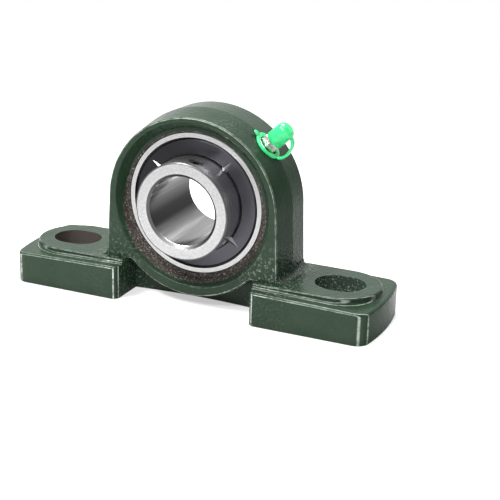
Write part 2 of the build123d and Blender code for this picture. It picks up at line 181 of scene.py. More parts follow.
class CapSettings(bpy.types.PropertyGroup):
    plastic: colour("Plastic", "Green cap plastic", (0.024, 0.50, 0.17))
    plastic_deep: colour("Deep plastic", "Green where the plastic is thick", (0.010, 0.33, 0.10))
    radius: size("Cap radius", "Outer radius of the cap", 0.00382)
    crown: size("Cap crown", "Rounding of the closed end", 0.0024)
    length: size("Cap length", "Height of the cap", 0.0086)
    overhang: size("Cap overhang", "How far the cap reaches past the nipple's head", 0.00365)
    wall: size("Cap wall", "Wall of the cap", 0.0006)
    roof: size("Cap roof", "Thickness of the closed end", 0.0013)
    lip: size("Cap lip", "Rounding of the open end", 0.00025)
    ring_radius: size("Ring radius", "Middle radius of the eyelet's band", 0.00514)
    ring_width: size("Ring band", "Width of the eyelet's band", 0.00180)
    ring_thickness: size("Ring thickness", "Thickness of the eyelet", 0.00098)
    ring_corner: size("Ring corner", "Rounding of the eyelet's edges", 0.00030)
    ring_depth: size("Ring depth", "From the nipple's head down to the eyelet's middle", 0.00850)
    tab_reach: size("Tab reach", "From the nipple's axis to the tip of the finger", 0.00815)
    tab_width: size("Tab width", "Width of the finger", 0.0025)
    tab_lift: size("Tab lift", "How far the finger's tip stands up", 0.0004)
    tab_turn: FloatProperty(name="Tab turn", description="Turn of the finger to the front",
                            default=radians(14.0), subtype="ANGLE", unit="ROTATION")
    strap_width: size("Strap width", "Width of the strap", 0.0024)
    strap_thickness: size("Strap thickness", "Thickness of the strap", 0.0010)


class StageSettings(bpy.types.PropertyGroup):
    eye: FloatVectorProperty(name="Camera place", description="Where the camera stands",
                             default=(0.211153, -0.449510, 0.197089), subtype="TRANSLATION",
                             unit="LENGTH", size=3, precision=5)
    yaw: FloatProperty(name="Camera yaw", description="Turn to the left", default=0.40065,
                       subtype="ANGLE", unit="ROTATION")
    pitch: FloatProperty(name="Camera pitch", description="Tilt downwards", default=0.34159,
                         subtype="ANGLE", unit="ROTATION")
    roll: FloatProperty(name="Camera roll", description="Turn about the view", default=0.02926,
                        subtype="ANGLE", unit="ROTATION")
    lens: FloatProperty(name="Lens", description="Focal length on a 36 mm sensor", default=91.083)
    floor: colour("Floor", "Pale floor", (0.86, 0.86, 0.86))
    floor_size: size("Floor size", "Side of the floor", 6.0)
    floor_near: size("Fade start", "From the middle to where the floor starts to fade", 0.10)
    floor_far: size("Fade end", "From the middle to where the floor is plain white", 0.50)
    floor_white: share("Floor whiteness", "How white the floor is under the part", 0.50)
    fill: share("Fill light", "Strength of the surroundings for diffuse light", 0.25)


def add(tree, kind, **settings):
    """A new node with its settings."""
    node = tree.nodes.new(kind)
    for name, value in settings.items():
        setattr(node, name, value)
    return node


def feed(tree, socket, value):
    """Links a socket to another one, or sets it to a plain value."""
    if isinstance(value, bpy.types.NodeSocket):
        tree.links.new(value, socket)
    elif hasattr(value, "__len__") and socket.type == "RGBA":
        socket.default_value = (*value[:3], 1.0)
    else:
        socket.default_value = value


def calc(tree, operation, first, second=0.0, third=0.0):
    """A number worked out from up to three others."""
    node = add(tree, "ShaderNodeMath", operation=operation)
    for socket, value in zip(node.inputs, (first, second, third)):
        feed(tree, socket, value)
    return node.outputs[0]


def product(tree, first, *others):
    """Numbers multiplied together."""
    for other in others:
        first = calc(tree, "MULTIPLY", first, other)
    return first


def away(tree, across, along):
    """The distance that two distances at right angles make."""
    squares = calc(tree, "ADD", product(tree, across, across), product(tree, along, along))
    return calc(tree, "SQRT", squares)


def span(tree, value, low, high, start=0.0, end=1.0):
    """Start below low, end above high, and a smooth change between them."""
    node = add(tree, "ShaderNodeMapRange", interpolation_type="SMOOTHSTEP")
    for name, number in (("Value", value), ("From Min", low), ("From Max", high),
                         ("To Min", start), ("To Max", end)):
        feed(tree, node.inputs[name], number)
    return node.outputs["Result"]


def below(tree, value, limit, blend):
    """1 up to a limit, falling to 0 over a short blend."""
    return span(tree, value, limit, limit + blend, 1.0, 0.0)


def band(tree, value, rising, full, falling, gone):
    """1 between full and falling, and 0 before rising and past gone."""
    return product(tree, span(tree, value, rising, full),
                   span(tree, value, falling, gone, 1.0, 0.0))


def noise(tree, vector, scale, detail=2.0, roughness=0.5):
    """Soft noise from 0 to 1, with scale waves to the metre."""
    node = add(tree, "ShaderNodeTexNoise")
    for name, value in (("Vector", vector), ("Scale", scale),
                        ("Detail", detail), ("Roughness", roughness)):
        feed(tree, node.inputs[name], value)
    return node.outputs["Fac"]


def blend_colours(tree, amount, first, second):
    """The first colour where the amount is 0, the second where it is 1."""
    node = add(tree, "ShaderNodeMix", data_type="RGBA")
    colours = [socket for socket in node.inputs if socket.type == "RGBA"]
    feed(tree, node.inputs["Factor"], amount)
    feed(tree, colours[0], first)
    feed(tree, colours[1], second)
    return next(socket for socket in node.outputs if socket.type == "RGBA")


def bump(tree, height, distance):
    """A normal from a height that runs from 0 to 1 over a real distance."""
    node = add(tree, "ShaderNodeBump")
    feed(tree, node.inputs["Height"], height)
    feed(tree, node.inputs["Distance"], distance)
    return node.outputs["Normal"]


def object_place(tree):
    """Where a point is, in the object's own frame."""
    return add(tree, "ShaderNodeTexCoord").outputs["Object"]


def object_normal(tree):
    """The way that a point faces, in the object's own frame."""
    return add(tree, "ShaderNodeTexCoord").outputs["Normal"]


def split(tree, vector):
    """The X, Y and Z of a vector."""
    node = add(tree, "ShaderNodeSeparateXYZ")
    feed(tree, node.inputs[0], vector)
    return node.outputs


def combine(tree, *parts):
    """A vector from its X, Y and Z."""
    node = add(tree, "ShaderNodeCombineXYZ")
    for socket, part in zip(node.inputs, parts):
        feed(tree, socket, part)
    return node.outputs[0]


def new_group(name, inputs, outputs):
    """An empty node group with named number sockets, and its two ends."""
    tree = bpy.data.node_groups.new(name, "ShaderNodeTree")
    for socket, default in inputs:
        made = tree.interface.new_socket(socket, in_out="INPUT", socket_type="NodeSocketFloat")
        made.default_value = default
    for socket in outputs:
        tree.interface.new_socket(socket, in_out="OUTPUT", socket_type="NodeSocketFloat")
    return tree, add(tree, "NodeGroupInput").outputs, add(tree, "NodeGroupOutput").inputs


def use_group(tree, name, **values):
    """The outputs of a node group, after its inputs are fed."""
    node = add(tree, "ShaderNodeGroup", node_tree=bpy.data.node_groups[name])
    for socket, value in values.items():
        feed(tree, node.inputs[socket.replace("_", " ")], value)
    return node.outputs


def build_polar_group():
    """Radius from the shaft's axis, depth along it, side from -1 at the left to 1 at the right, and
    rise from -1 at the bottom to 1 at the top."""
    tree, _, outputs = new_group("Round the shaft", [], ["Radius", "Depth", "Side", "Rise"])
    place = split(tree, object_place(tree))
    across = calc(tree, "SUBTRACT", place["X"], centre.x)
    rise = calc(tree, "SUBTRACT", place["Z"], centre.z)
    radius = away(tree, across, rise)
    feed(tree, outputs["Radius"], radius)
    feed(tree, outputs["Depth"], place["Y"])
    feed(tree, outputs["Side"], calc(tree, "DIVIDE", across, radius))
    feed(tree, outputs["Rise"], calc(tree, "DIVIDE", rise, radius))


def build_lines_group():
    """Fine lines round the shaft, as grinding and turning leave them, from 0 to 1."""
    band_share = 0.12
    wander = 0.4*mm
    tree, inputs, outputs = new_group("Turned lines", [("Spacing", 0.2*mm)], ["Lines", "Bands"])
    polar = use_group(tree, "Round the shaft")
    drift = noise(tree, object_place(tree), scale=60.0, detail=1.0)
    section = combine(tree, polar["Radius"], polar["Depth"], product(tree, drift, wander))
    scale = calc(tree, "DIVIDE", 1.0, inputs["Spacing"])
    feed(tree, outputs["Lines"], noise(tree, section, scale, detail=3.0, roughness=0.6))
    feed(tree, outputs["Bands"], noise(tree, section, product(tree, scale, band_share), detail=1.0))


def build_pebble_group():
    """The skin of a sand casting: grains, soft swells, and patches where the grains are rough."""
    warp_scale = 500.0
    warp_reach = 0.9*mm
    patch_share = 0.6
    tree, inputs, outputs = new_group("Cast skin", [("Grain Size", 1.3*mm), ("Swell Size", 9.0*mm)],
                                      ["Grain", "Swell", "Patch"])
    place = object_place(tree)
    warp = add(tree, "ShaderNodeTexNoise")
    feed(tree, warp.inputs["Vector"], place)
    feed(tree, warp.inputs["Scale"], warp_scale)
    bent = add(tree, "ShaderNodeVectorMath", operation="MULTIPLY_ADD")
    for socket, value in zip(bent.inputs, (warp.outputs["Color"], (warp_reach,)*3, place)):
        feed(tree, socket, value)
    cells = add(tree, "ShaderNodeTexVoronoi", feature="SMOOTH_F1")
    feed(tree, cells.inputs["Vector"], bent.outputs[0])
    feed(tree, cells.inputs["Scale"], calc(tree, "DIVIDE", 1.0, inputs["Grain Size"]))
    feed(tree, cells.inputs["Smoothness"], 0.6)
    feed(tree, outputs["Grain"], span(tree, cells.outputs["Distance"], 0.15, 0.75, 1.0, 0.0))
    swell_scale = calc(tree, "DIVIDE", 1.0, inputs["Swell Size"])
    feed(tree, outputs["Swell"], noise(tree, place, swell_scale, detail=3.0, roughness=0.55))
    patches = noise(tree, place, product(tree, swell_scale, patch_share))
    feed(tree, outputs["Patch"], span(tree, patches, 0.40, 0.62))


def build_edge_group():
    """The rounded edges of the front and back faces, broken up by noise for their painted highlight, and the
    sides, from the way that they face.
    """
    tree, _, outputs = new_group("Front edges", [], ["Edge", "Side"])
    facing = split(tree, object_normal(tree))
    forward = calc(tree, "ABSOLUTE", facing["Y"])
    near_side = band(tree, forward, 0.24, 0.30, 0.34, 0.44)
    near_face = band(tree, forward, 0.82, 0.88, 0.91, 0.955)
    rounded = calc(tree, "MAXIMUM", near_side, near_face)
    # Noise that breaks up the painted highlight along the edges
    wear_and_highlight_breakup = noise(tree, object_place(tree), scale=320.0, detail=3.0, roughness=0.7)
    feed(tree, outputs["Edge"], product(tree, rounded, span(tree, wear_and_highlight_breakup, 0.36, 0.60, 0.25, 1.0)))
    feed(tree, outputs["Side"], span(tree, calc(tree, "ABSOLUTE", facing["X"]), 0.60, 0.95))


def build_slot_group():
    """The walls of the two slots in the feet, from 0 to 1."""
    tree, inputs, outputs = new_group("Slot walls", [("Radius", slot_radius)], ["Wall"])
    place = split(tree, object_place(tree))
    out = calc(tree, "SUBTRACT", calc(tree, "ABSOLUTE", place["X"]), slot_place)
    past = calc(tree, "SUBTRACT", calc(tree, "ABSOLUTE", out), slot_straight)
    from_slot = away(tree, calc(tree, "MAXIMUM", past, 0.0), place["Y"])
    beyond = calc(tree, "SUBTRACT", from_slot, inputs["Radius"])
    feed(tree, outputs["Wall"], below(tree, beyond, 0.1*mm, 0.3*mm))


def build_speckle_group():
    """Small uneven marks such as dust and film, and wide clouds of them, from 0 to 1."""
    cloud_share = 0.08
    tree, inputs, outputs = new_group("Speckle", [("Spot Size", 1.0*mm)], ["Spots", "Cloud"])
    place = object_place(tree)
    scale = calc(tree, "DIVIDE", 1.0, inputs["Spot Size"])
    spots = noise(tree, place, scale, detail=4.0, roughness=0.7)
    feed(tree, outputs["Spots"], span(tree, spots, 0.35, 0.68))
    cloud = noise(tree, place, product(tree, scale, cloud_share), detail=3.0, roughness=0.55)
    feed(tree, outputs["Cloud"], cloud)


def new_material(name):
    """A material with its Principled shader, empty otherwise."""
    material = bpy.data.materials.new(name)
    material.use_nodes = True
    tree = material.node_tree
    return material, tree, tree.nodes["Principled BSDF"]


def set_sockets(tree, shader, **values):
    """Feeds sockets of a shader, each by its name with _ for a space."""
    for name, value in values.items():
        feed(tree, shader.inputs[name.replace("_", " ")], value)


def dress(material, *names):
    """Gives CAD nodes a material."""
    for name in names:
        materials = frame["nodes"][name].data.materials
        materials.clear()
        materials.append(material)


def bare_mouth(tree, paint, polar):
    """Where the mouth's cone is bare iron: most low on the left, least at the top."""
    low_share, high_share, left_share = 0.55, -0.45, 0.10
    cone = paint.rim_radius - paint.floor_radius
    height = span(tree, polar["Rise"], -0.7, 0.8, low_share, high_share)
    upright = calc(tree, "MULTIPLY_ADD", height, cone, paint.floor_radius)
    reach = calc(tree, "MULTIPLY_ADD", polar["Side"], -left_share*cone, upright)
    wander = noise(tree, object_place(tree), scale=420.0, detail=4.0, roughness=0.65)
    ragged = calc(tree, "MULTIPLY_ADD", wander, paint.ragged, reach)
    edge = calc(tree, "SUBTRACT", ragged, 0.5*paint.ragged)
    return span(tree, calc(tree, "SUBTRACT", edge, polar["Radius"]), -0.2*mm, 0.3*mm)


def rough_roots(tree, paint, place):
    """How rough the casting is where the feet meet the body: most at the right, 0 elsewhere."""
    out = calc(tree, "SUBTRACT", calc(tree, "ABSOLUTE", place["X"]), paint.root)
    near = below(tree, calc(tree, "ABSOLUTE", out), 5.0*mm, 12.0*mm)
    low = below(tree, place["Z"], 18.0*mm, 18.0*mm)
    return product(tree, near, low, span(tree, place["X"], -50.0*mm, 30.0*mm, 0.6, 1.0))


def painted_highlights(tree, paint, polar, place, roots, facing):
    """Painted highlights on the grains at the foot roots and on the rounded edges."""
    crests = noise(tree, object_place(tree), 1.0/paint.pebble_size, detail=4.0, roughness=0.65)
    set_back = span(tree, place["Y"], foot_front + 1.0*mm, foot_front + 4.0*mm, 0.15, 1.0)
    peaks = product(tree, span(tree, crests, 0.53, 0.63), roots, set_back, paint.crest_share)
    outside_mouth = span(tree, polar["Radius"], paint.rim_radius, paint.rim_radius + 1.0*mm)
    level = span(tree, calc(tree, "ABSOLUTE", place["X"]), 36.0*mm, 40.0*mm,
                 paint.edge_share, paint.foot_edge_share)
    return calc(tree, "MAXIMUM", peaks, product(tree, facing["Edge"], outside_mouth, level))


def housing_height(tree, paint, skin, speckle, place, roots, bare_skin):
    """The height of the casting's skin: grains, pits and soft swells, in shares of the swells."""
    smooth_swell, low_swell = 0.4, 0.6
    patch = calc(tree, "MULTIPLY_ADD", skin["Patch"], 0.6, 0.4)
    strength = calc(tree, "MAXIMUM", product(tree, roots, patch), paint.smooth_share)
    pits = product(tree, speckle["Spots"], calc(tree, "MULTIPLY_ADD", bare_skin, 0.9, 0.08), 0.5)
    fine = calc(tree, "MULTIPLY_ADD", product(tree, skin["Grain"], strength),
                paint.pebble_height/paint.swell_height, pits)
    low = span(tree, place["Z"], 25.0*mm, 60.0*mm, 1.0, 0.15)
    swell = product(tree, skin["Swell"], calc(tree, "MULTIPLY_ADD", low, low_swell, smooth_swell))
    return calc(tree, "ADD", swell, fine)


def housing_material(paint):
    """Green enamel over a sand casting, with bare iron in the mouth and machined faces below."""
    glint_share = 0.6
    cloud_roughness = 0.16
    bare_roughness = 0.42
    material, tree, shader = new_material("Cast housing")
    polar = use_group(tree, "Round the shaft")
    skin = use_group(tree, "Cast skin", Grain_Size=paint.pebble_size, Swell_Size=paint.swell_size)
    speckle = use_group(tree, "Speckle", Spot_Size=0.7*mm)
    facing = use_group(tree, "Front edges")
    place = split(tree, object_place(tree))

    # Where the casting is bare, machined or rough
    in_mouth = bare_mouth(tree, paint, polar)
    in_slot = use_group(tree, "Slot walls")["Wall"]
    bare_skin = calc(tree, "MAXIMUM", in_mouth, in_slot)
    under = below(tree, place["Z"], 0.04*mm, 0.21*mm)
    roots = rough_roots(tree, paint, place)

    # Enamel: clouded all over, with painted highlights on the rounded edges and on grains at the foot roots
    clouds = calc(tree, "MULTIPLY_ADD", skin["Grain"], 0.15, product(tree, speckle["Cloud"], 0.5))
    enamel = blend_colours(tree, clouds, paint.paint, paint.paint_light)
    enamel = blend_colours(tree, painted_highlights(tree, paint, polar, place, roots, facing),
                           enamel, paint.edge)

    # Iron: pitted with painted glints in the mouth, smooth in the left slot, rough in the right one with painted
    # glints in the edge highlight's colour
    glint_noise = noise(tree, object_place(tree), scale=1500.0, roughness=0.6)
    glints = product(tree, span(tree, glint_noise, 0.58, 0.68), glint_share)
    pitted = blend_colours(tree, speckle["Spots"], paint.iron_dark, paint.iron)
    iron = blend_colours(tree, glints, pitted, paint.glint)
    right_slot = blend_colours(tree, glints, paint.slot_dark, paint.edge)
    at_left = below(tree, place["X"], -1.0*mm, 2.0*mm)
    slot_tone = blend_colours(tree, at_left, right_slot, paint.slot_iron)

    outside = blend_colours(tree, in_slot, blend_colours(tree, in_mouth, enamel, iron), slot_tone)
    set_sockets(tree, shader, Base_Color=blend_colours(tree, under, outside, paint.machined),
                Metallic=product(tree, under, 0.8))
    dull = calc(tree, "MULTIPLY_ADD", speckle["Cloud"], cloud_roughness,
                paint.roughness - 0.5*cloud_roughness)
    bare = calc(tree, "MAXIMUM", bare_skin, under)
    set_sockets(tree, shader, Roughness=calc(tree, "MULTIPLY_ADD", bare, bare_roughness, dull))
    set_sockets(tree, shader, Specular_IOR_Level=calc(
        tree, "MULTIPLY_ADD", facing["Side"], paint.side_shine - paint.shine, paint.shine))

    height = housing_height(tree, paint, skin, speckle, place, roots, bare_skin)
    height = product(tree, height, calc(tree, "SUBTRACT", 1.0, under))
    set_sockets(tree, shader, Normal=bump(tree, height, paint.swell_height))
    return material


def bore_reflections(tree, steel, polar):
    """Painted reflections in the bore: bright low down, and bright streaks along the shaft above, on a dark
    ground.
    """
    stretch = 4.0
    way_round = combine(tree, polar["Side"], polar["Rise"], product(tree, polar["Depth"], stretch))
    streaks = span(tree, noise(tree, way_round, scale=2.6, detail=3.0, roughness=0.6), 0.42, 0.66)
    low_side = span(tree, polar["Rise"], -0.95, -0.50, 1.0, 0.0)
    high_side = span(tree, polar["Rise"], 0.10, 0.55)
    shine = calc(tree, "MAXIMUM", product(tree, streaks, high_side),
                 product(tree, low_side, calc(tree, "MULTIPLY_ADD", streaks, 0.5, 0.5)))
    return blend_colours(tree, shine, steel.bore_dark, steel.bore)


def ring_material(steel):
    """Ground and lightly oiled bearing steel: pale grained faces, and a darker polished bore with painted
    reflections.
    """
    grain_share = 0.7
    line_roughness, chamfer_roughness, bore_roughness = 0.16, 0.12, -0.08
    material, tree, shader = new_material("Ground ring steel")
    polar = use_group(tree, "Round the shaft")
    lines = use_group(tree, "Turned lines", Spacing=0.16*mm)
    film = use_group(tree, "Speckle", Spot_Size=4.0*mm)
    grain = use_group(tree, "Speckle", Spot_Size=0.4*mm)

    # The bore, its chamfer with the bore inside it, and the face's rounded rim
    bore = below(tree, polar["Radius"], steel.bore_edge, 0.3*mm)
    chamfer = below(tree, polar["Radius"], steel.chamfer_edge, 0.2*mm)
    rim = product(tree, span(tree, polar["Radius"], steel.rim_edge, steel.rim_edge + 0.2*mm),
                  below(tree, polar["Depth"], face_depth + 0.4*mm, 0.2*mm))

    oiled = product(tree, lines["Bands"], film["Cloud"])
    face = blend_colours(tree, oiled, steel.ring, steel.ring_dark)
    grained = blend_colours(tree, product(tree, grain["Spots"], grain_share), face, steel.ring_dark)
    shaded = blend_colours(tree, calc(tree, "MAXIMUM", chamfer, rim), grained, steel.edge)
    set_sockets(tree, shader, Metallic=1.0,
                Base_Color=blend_colours(tree, bore, shaded, bore_reflections(tree, steel, polar)))
    ground = calc(tree, "MULTIPLY_ADD", lines["Lines"], line_roughness,
                  steel.face_roughness - 0.5*line_roughness)
    on_chamfer = calc(tree, "SUBTRACT", chamfer, bore)
    dulled = calc(tree, "MULTIPLY_ADD", on_chamfer, chamfer_roughness, ground)
    set_sockets(tree, shader, Roughness=calc(tree, "MULTIPLY_ADD", bore, bore_roughness, dulled))
    set_sockets(tree, shader, Normal=bump(tree, lines["Lines"], steel.line_height))
    return material


def sheet_material(name, steel, tint, roughness, spacing):
    """Rolled sheet with faint lines and a cloudy film, with its nodes and its colour."""
    dim_share = 0.72
    cloud_roughness = 0.2
    material, tree, shader = new_material(name)
    lines = use_group(tree, "Turned lines", Spacing=spacing)
    film = use_group(tree, "Speckle", Spot_Size=2.5*mm)
    darker = [dim_share*channel for channel in tint]
    sheet = blend_colours(tree, film["Cloud"], tint, darker)
    set_sockets(tree, shader, Base_Color=sheet, Metallic=1.0)
    set_sockets(tree, shader, Roughness=calc(tree, "MULTIPLY_ADD", film["Cloud"], cloud_roughness,
                                             roughness - 0.5*cloud_roughness))
    set_sockets(tree, shader, Normal=bump(tree, lines["Lines"], steel.roll_height))
    return material, tree, shader, sheet


def flinger_material(steel):
    """Dark coated sheet, with painted shade darker at the left, and painted highlights on the lugs' upper flanks.
    """
    shade_share, highlight_share = 0.85, 0.9
    material, tree, shader, sheet = sheet_material(
        "Flinger sheet", steel, steel.flinger, steel.flinger_roughness, 0.4*mm)
    polar = use_group(tree, "Round the shaft")
    # Painted shade: darker towards the left
    left_shading = span(tree, polar["Side"], -0.5, 0.8, shade_share, 0.0)
    dim = blend_colours(tree, left_shading, sheet, steel.left_shade)

    # The lugs slope where the disc is flat
    facing = split(tree, object_normal(tree))
    sloped = span(tree, calc(tree, "ABSOLUTE", facing["Y"]), 0.93, 0.98, 1.0, 0.0)
    inside = span(tree, polar["Radius"], steel.lug_reach, steel.lug_reach + 0.2*mm, highlight_share, 0.0)
    # Painted highlight on the lugs' upward-facing flanks
    flank = product(tree, sloped, inside, span(tree, facing["Z"], 0.0, 0.1))
    set_sockets(tree, shader, Base_Color=blend_colours(tree, flank, dim, steel.worn_and_lit),
                Coat_Weight=0.15, Coat_Roughness=0.25)
    return material


def polished_material(name, tint, roughness):
    """Polished or plated metal with a light haze."""
    dim_share = 0.8
    haze_roughness = 0.12
    material, tree, shader = new_material(name)
    haze = use_group(tree, "Speckle", Spot_Size=1.5*mm)
    deeper = [dim_share*channel for channel in tint]
    set_sockets(tree, shader, Metallic=1.0,
                Base_Color=blend_colours(tree, haze["Cloud"], tint, deeper),
                Roughness=calc(tree, "MULTIPLY_ADD", haze["Spots"], haze_roughness, roughness))
    return material


def rubber_material(steel):
    """Black rubber with fine dust."""
    dust_gain = 2.2
    dust_height = 0.01*mm
    material, tree, shader = new_material("Seal rubber")
    dust = use_group(tree, "Speckle", Spot_Size=0.5*mm)
    dusty = [dust_gain*channel for channel in steel.rubber]
    set_sockets(tree, shader, Base_Color=blend_colours(tree, dust["Spots"], steel.rubber, dusty))
    set_sockets(tree, shader, Roughness=calc(tree, "MULTIPLY_ADD", dust["Cloud"], 0.2, 0.5))
    set_sockets(tree, shader, Normal=bump(tree, dust["Spots"], dust_height))
    return material


def screw_material(steel):
    """Black oxide, rubbed brighter here and there."""
    wear_gain = 3.0
    material, tree, shader = new_material("Black oxide")
    wear_and_highlight_breakup = use_group(tree, "Speckle", Spot_Size=0.9*mm)
    worn_and_lit = [wear_gain*channel for channel in steel.screw]
    set_sockets(tree, shader, Metallic=0.7,
                Base_Color=blend_colours(tree, wear_and_highlight_breakup["Cloud"], steel.screw, worn_and_lit),
                Roughness=calc(tree, "MULTIPLY_ADD", wear_and_highlight_breakup["Spots"], 0.15, 0.3))
    return material


def plastic_material(cap):
    """Soft moulded plastic that lets some light through."""
    ripple_height = 0.05*mm
    material, tree, shader = new_material("Cap plastic")
    flow = use_group(tree, "Speckle", Spot_Size=6.0*mm)
    ripple = noise(tree, object_place(tree), scale=700.0)
    green = blend_colours(tree, flow["Spots"], cap.plastic, cap.plastic_deep)
    set_sockets(tree, shader, Base_Color=green,
                Roughness=calc(tree, "MULTIPLY_ADD", ripple, 0.18, 0.22),
                Subsurface_Weight=0.35, Subsurface_Scale=2.0*mm,
                Subsurface_Radius=(0.3, 1.0, 0.5))
    set_sockets(tree, shader, Normal=bump(tree, ripple, ripple_height))
    return material


def put_in_scene(name, data):
    """A new object of this data, at the origin."""
    item = bpy.data.objects.new(name, data)
    bpy.context.scene.collection.objects.link(item)
    return item


def as_mesh(shape, name):
    """A mesh of a bmesh, which is used up."""
    mesh = bpy.data.meshes.new(name)
    shape.to_mesh(mesh)
    shape.free()
    return mesh


def finish_piece(shape, name, material):
    """Turns a bmesh in the nipple's frame into a smooth object at the origin."""
    bmesh.ops.remove_doubles(shape, verts=shape.verts, dist=1e-6)
    bmesh.ops.recalc_face_normals(shape, faces=shape.faces)
    bmesh.ops.transform(shape, matrix=nipple_frame, verts=shape.verts)
    mesh = as_mesh(shape, name)
    for face in mesh.polygons:
        face.use_smooth = True
    mesh.materials.append(material)
    piece = put_in_scene(name, mesh)
    return piece


def spin_profile(points, steps=64):
    """A bmesh turned from (radius, height) points about the nipple's axis."""
    shape = bmesh.new()
    row = [shape.verts.new((radius, 0.0, height)) for radius, height in points]
    runs = [shape.edges.new(pair) for pair in zip(row, row[1:])]
    bmesh.ops.spin(shape, geom=row + runs, cent=(0, 0, 0), axis=(0, 0, 1), angle=2*pi,
                   steps=steps, use_merge=True)
    return shape


def arc(middle, radius, start, end, count=8):
    """Points (radius, height) on an arc; 0 degrees points outwards and 90 up."""
    return [(middle[0] + radius*cos(radians(start + (end - start)*step/count)),
             middle[1] + radius*sin(radians(start + (end - start)*step/count)))
            for step in range(count + 1)]


def flat_section(width, thickness):
    """A bmesh with one closed loop of edges: a flat shape with round corners, across the height."""
    corner_share = 0.4
    shape = bmesh.new()
    bmesh.ops.create_circle(shape, segments=4, radius=0.5**0.5,
                            matrix=Matrix.Rotation(pi/4, 4, "Z"))
    bmesh.ops.scale(shape, vec=(thickness, width, 1.0), verts=shape.verts)
    bmesh.ops.bevel(shape, geom=shape.verts[:], offset=corner_share*thickness, offset_type="OFFSET",
                    segments=4, profile=0.5, affect="VERTICES", material=-1)
    return shape


def swept(shape, path):
    """Draws a loop along points (across, height), down the dome, and closes both ends."""
    stations = []
    for before, place, after in zip([path[0], *path], path, [*path[1:], path[-1]]):
        run = Vector((after[0] - before[0], 0.0, after[1] - before[1])).normalized()
        axes = Matrix((Vector((run.z, 0.0, -run.x)), Vector((0.0, 1.0, 0.0)), run)).transposed()
        stations.append(Matrix.Translation((place[0], 0.0, place[1])) @ axes.to_4x4())
    bmesh.ops.transform(shape, matrix=stations[0], verts=shape.verts)
    first = loop = shape.edges[:]
    for here, there in zip(stations, stations[1:]):
        drawn = bmesh.ops.extrude_edge_only(shape, edges=loop)["geom"]
        corners = [item for item in drawn if isinstance(item, bmesh.types.BMVert)]
        bmesh.ops.transform(shape, matrix=there @ here.inverted(), verts=corners)
        loop = [edge for edge in shape.edges if all(corner in corners for corner in edge.verts)]
    for end in (first, loop):
        bmesh.ops.edgeloop_fill(shape, edges=end)
    return shape


def joined(shape, other):
    """Puts another bmesh into this one."""
    spare = as_mesh(other, "spare")
    shape.from_mesh(spare)
    bpy.data.meshes.remove(spare)
    return shape


def smooth_path(points, steps=8):
    """A smooth line of points through a few chosen ones."""
    ends = [points[0], *points, points[-1]]
    line = []
    for a, b, c, d in zip(ends, ends[1:], ends[2:], ends[3:]):
        for step in range(steps):
            t = step/steps
            line.append(tuple(
                0.5*(2*q + (r - p)*t + (2*p - 5*q + 4*r - s)*t*t + (3*q - p - 3*r + s)*t**3)
                for p, q, r, s in zip(a, b, c, d)))
    return line + [points[-1]]


class BEARING_OT_paint_housing(bpy.types.Operator):
    """Paints the casting"""
    bl_idname = "bearing.paint_housing"
    bl_label = "Paint housing"

    def execute(self, context):
        dress(housing_material(context.scene.bearing_paint), "housing")
        return {"FINISHED"}


class BEARING_OT_finish_rings(bpy.types.Operator):
    """Gives the bearing's rings and balls their ground and polished steel"""
    bl_idname = "bearing.finish_rings"
    bl_label = "Finish rings and balls"

    def execute(self, context):
        steel = context.scene.bearing_steel
        dress(ring_material(steel), "outer_ring", "inner_ring")
        balls = [name for name in frame["nodes"] if name.startswith("ball_")]
        polished = polished_material("Ball steel", steel.ball, steel.ball_roughness)
        dress(polished, *balls, "nipple_check_ball")
        return {"FINISHED"}


class BEARING_OT_finish_sheets(bpy.types.Operator):
    """Gives the cage, shields and flingers their pressed sheet, and the lips their rubber"""
    bl_idname = "bearing.finish_sheets"
    bl_label = "Finish sheet parts and seals"

    def execute(self, context):
        steel = context.scene.bearing_steel
        spacing = 0.3*mm
        pressed, *_ = sheet_material(
            "Pressed sheet", steel, steel.sheet, steel.sheet_roughness, spacing)
        dress(pressed, "cage_front", "cage_rear", "cage_rivets")
        oily, *_ = sheet_material(
            "Oily shield sheet", steel, steel.shield, steel.shield_roughness, spacing)
        dress(oily, "seal_plate_front", "seal_plate_rear")
        dress(flinger_material(steel), "flinger_front", "flinger_rear")
        dress(rubber_material(steel), "seal_lip_front", "seal_lip_rear")
        return {"FINISHED"}


class BEARING_OT_finish_fasteners(bpy.types.Operator):
    """Gives the set screws their black oxide and the nipple its plating"""
    bl_idname = "bearing.finish_fasteners"
    bl_label = "Finish screws and nipple"

    def execute(self, context):
        steel = context.scene.bearing_steel
        dress(screw_material(steel), "set_screw_1", "set_screw_2")
        plating = polished_material("Zinc plating", steel.plating, steel.plating_roughness)
        dress(plating, "nipple_body")
        self.make_spring(plating)
        return {"FINISHED"}

    def make_spring(self, plating):
        """A copy of the nipple's spring that takes its place, with the original hidden."""
        shape = bmesh.new()
        shape.from_mesh(frame["nodes"]["nipple_spring"].data)
        bmesh.ops.transform(shape, matrix=nipple_frame.inverted(), verts=shape.verts)
        piece = finish_piece(shape, "spring_coil", plating)
        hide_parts("nipple_spring")
        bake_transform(piece)


